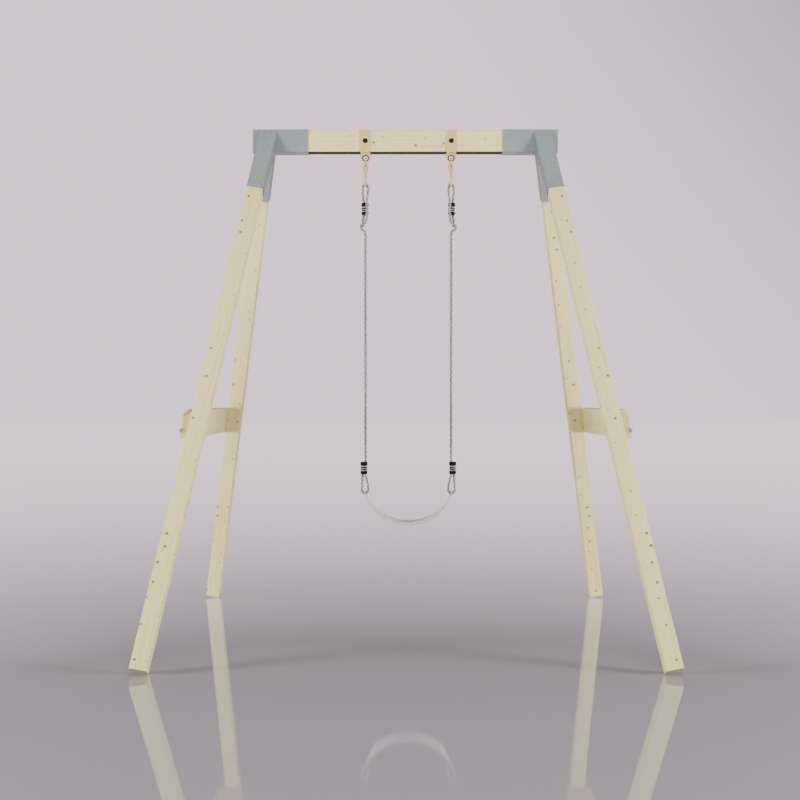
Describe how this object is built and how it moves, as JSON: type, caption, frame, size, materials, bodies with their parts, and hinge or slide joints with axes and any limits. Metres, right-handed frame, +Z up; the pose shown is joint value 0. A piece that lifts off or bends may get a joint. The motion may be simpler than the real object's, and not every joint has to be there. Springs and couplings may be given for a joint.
{
  "type": "timber A-frame swing",
  "caption": "Timber A-frame swing stand with steel corner brackets, side braces and one soft belt seat hung on two ropes.",
  "frame": {"origin": "on the floor, under the middle of the stand", "axes": "+X along the beam to the right, +Y away from the viewer along the swing's travel, +Z up"},
  "size_m": [1.9266, 1.7124, 2.083],
  "materials": {
    "timber": "planed softwood, untreated",
    "bracket_steel": "satin grey coating",
    "screw_zinc": "bright zinc plate",
    "hanger_zinc": "yellow passivated zinc plate",
    "dark_steel": "dark satin",
    "clamp_plastic": "fine-grained black plastic",
    "rope": "twisted grey rope",
    "belt": "soft, slightly see-through pale pink"
  },
  "bodies": {
    "stand": {"beam": "timber", "left_corner_bracket": "bracket_steel", "left_brace": "timber", "left_front_leg": "timber", "left_front_socket_screw": "screw_zinc", "left_front_brace_screw_upper": "screw_zinc", "left_front_brace_screw_lower": "screw_zinc", "left_back_leg": "timber", "left_back_socket_screw": "screw_zinc", "left_back_brace_screw_upper": "screw_zinc", "left_back_brace_screw_lower": "screw_zinc", "left_beam_screw_1": "screw_zinc", "left_beam_screw_2": "screw_zinc", "left_hanger_strap": "hanger_zinc", "left_hanger_bolt": "dark_steel", "left_hanger_washer": "hanger_zinc", "left_hanger_nut": "hanger_zinc", "right_corner_bracket": "bracket_steel", "right_brace": "timber", "right_front_leg": "timber", "right_front_socket_screw": "screw_zinc", "right_front_brace_screw_upper": "screw_zinc", "right_front_brace_screw_lower": "screw_zinc", "right_back_leg": "timber", "right_back_socket_screw": "screw_zinc", "right_back_brace_screw_upper": "screw_zinc", "right_back_brace_screw_lower": "screw_zinc", "right_beam_screw_1": "screw_zinc", "right_beam_screw_2": "screw_zinc", "right_hanger_strap": "hanger_zinc", "right_hanger_bolt": "dark_steel", "right_hanger_washer": "hanger_zinc", "right_hanger_nut": "hanger_zinc"},
    "swing": {"left_bow": "hanger_zinc", "left_swivel_head": "hanger_zinc", "left_head_pin": "dark_steel", "left_snap_hook": "hanger_zinc", "left_gate_pin": "dark_steel", "left_rope": "rope", "left_upper_clamp": "clamp_plastic", "left_lower_clamp": "clamp_plastic", "right_bow": "hanger_zinc", "right_swivel_head": "hanger_zinc", "right_head_pin": "dark_steel", "right_snap_hook": "hanger_zinc", "right_gate_pin": "dark_steel", "right_rope": "rope", "right_upper_clamp": "clamp_plastic", "right_lower_clamp": "clamp_plastic"},
    "seat": {"belt_seat": "belt", "left_seat_eyelet": "dark_steel", "right_seat_eyelet": "dark_steel"},
    "left_gate": {"left_hook_gate": "hanger_zinc"},
    "right_gate": {"right_hook_gate": "hanger_zinc"}
  },
  "joints": [
    {"name": "swing", "type": "hinge", "parent": "stand", "child": "swing", "pos_m": [0.0125, 0, 1.9651], "axis": [1, 0, 0], "range_deg": [-45, 45]},
    {"name": "seat_rock", "type": "hinge", "parent": "swing", "child": "seat", "pos_m": [0.0125, 0, 0.5689], "axis": [1, 0, 0], "range_deg": [-35, 35]},
    {"name": "left_gate", "type": "hinge", "parent": "swing", "child": "left_gate", "pos_m": [-0.16615, -0.015, 1.8836], "axis": [1, 0, 0], "range_deg": [0, 30], "stiffness_Nm_per_rad": 0.03, "springref_deg": -20.05},
    {"name": "right_gate", "type": "hinge", "parent": "swing", "child": "right_gate", "pos_m": [0.19115, -0.015, 1.8836], "axis": [1, 0, 0], "range_deg": [0, 30], "stiffness_Nm_per_rad": 0.03, "springref_deg": -20.05}
  ]
}
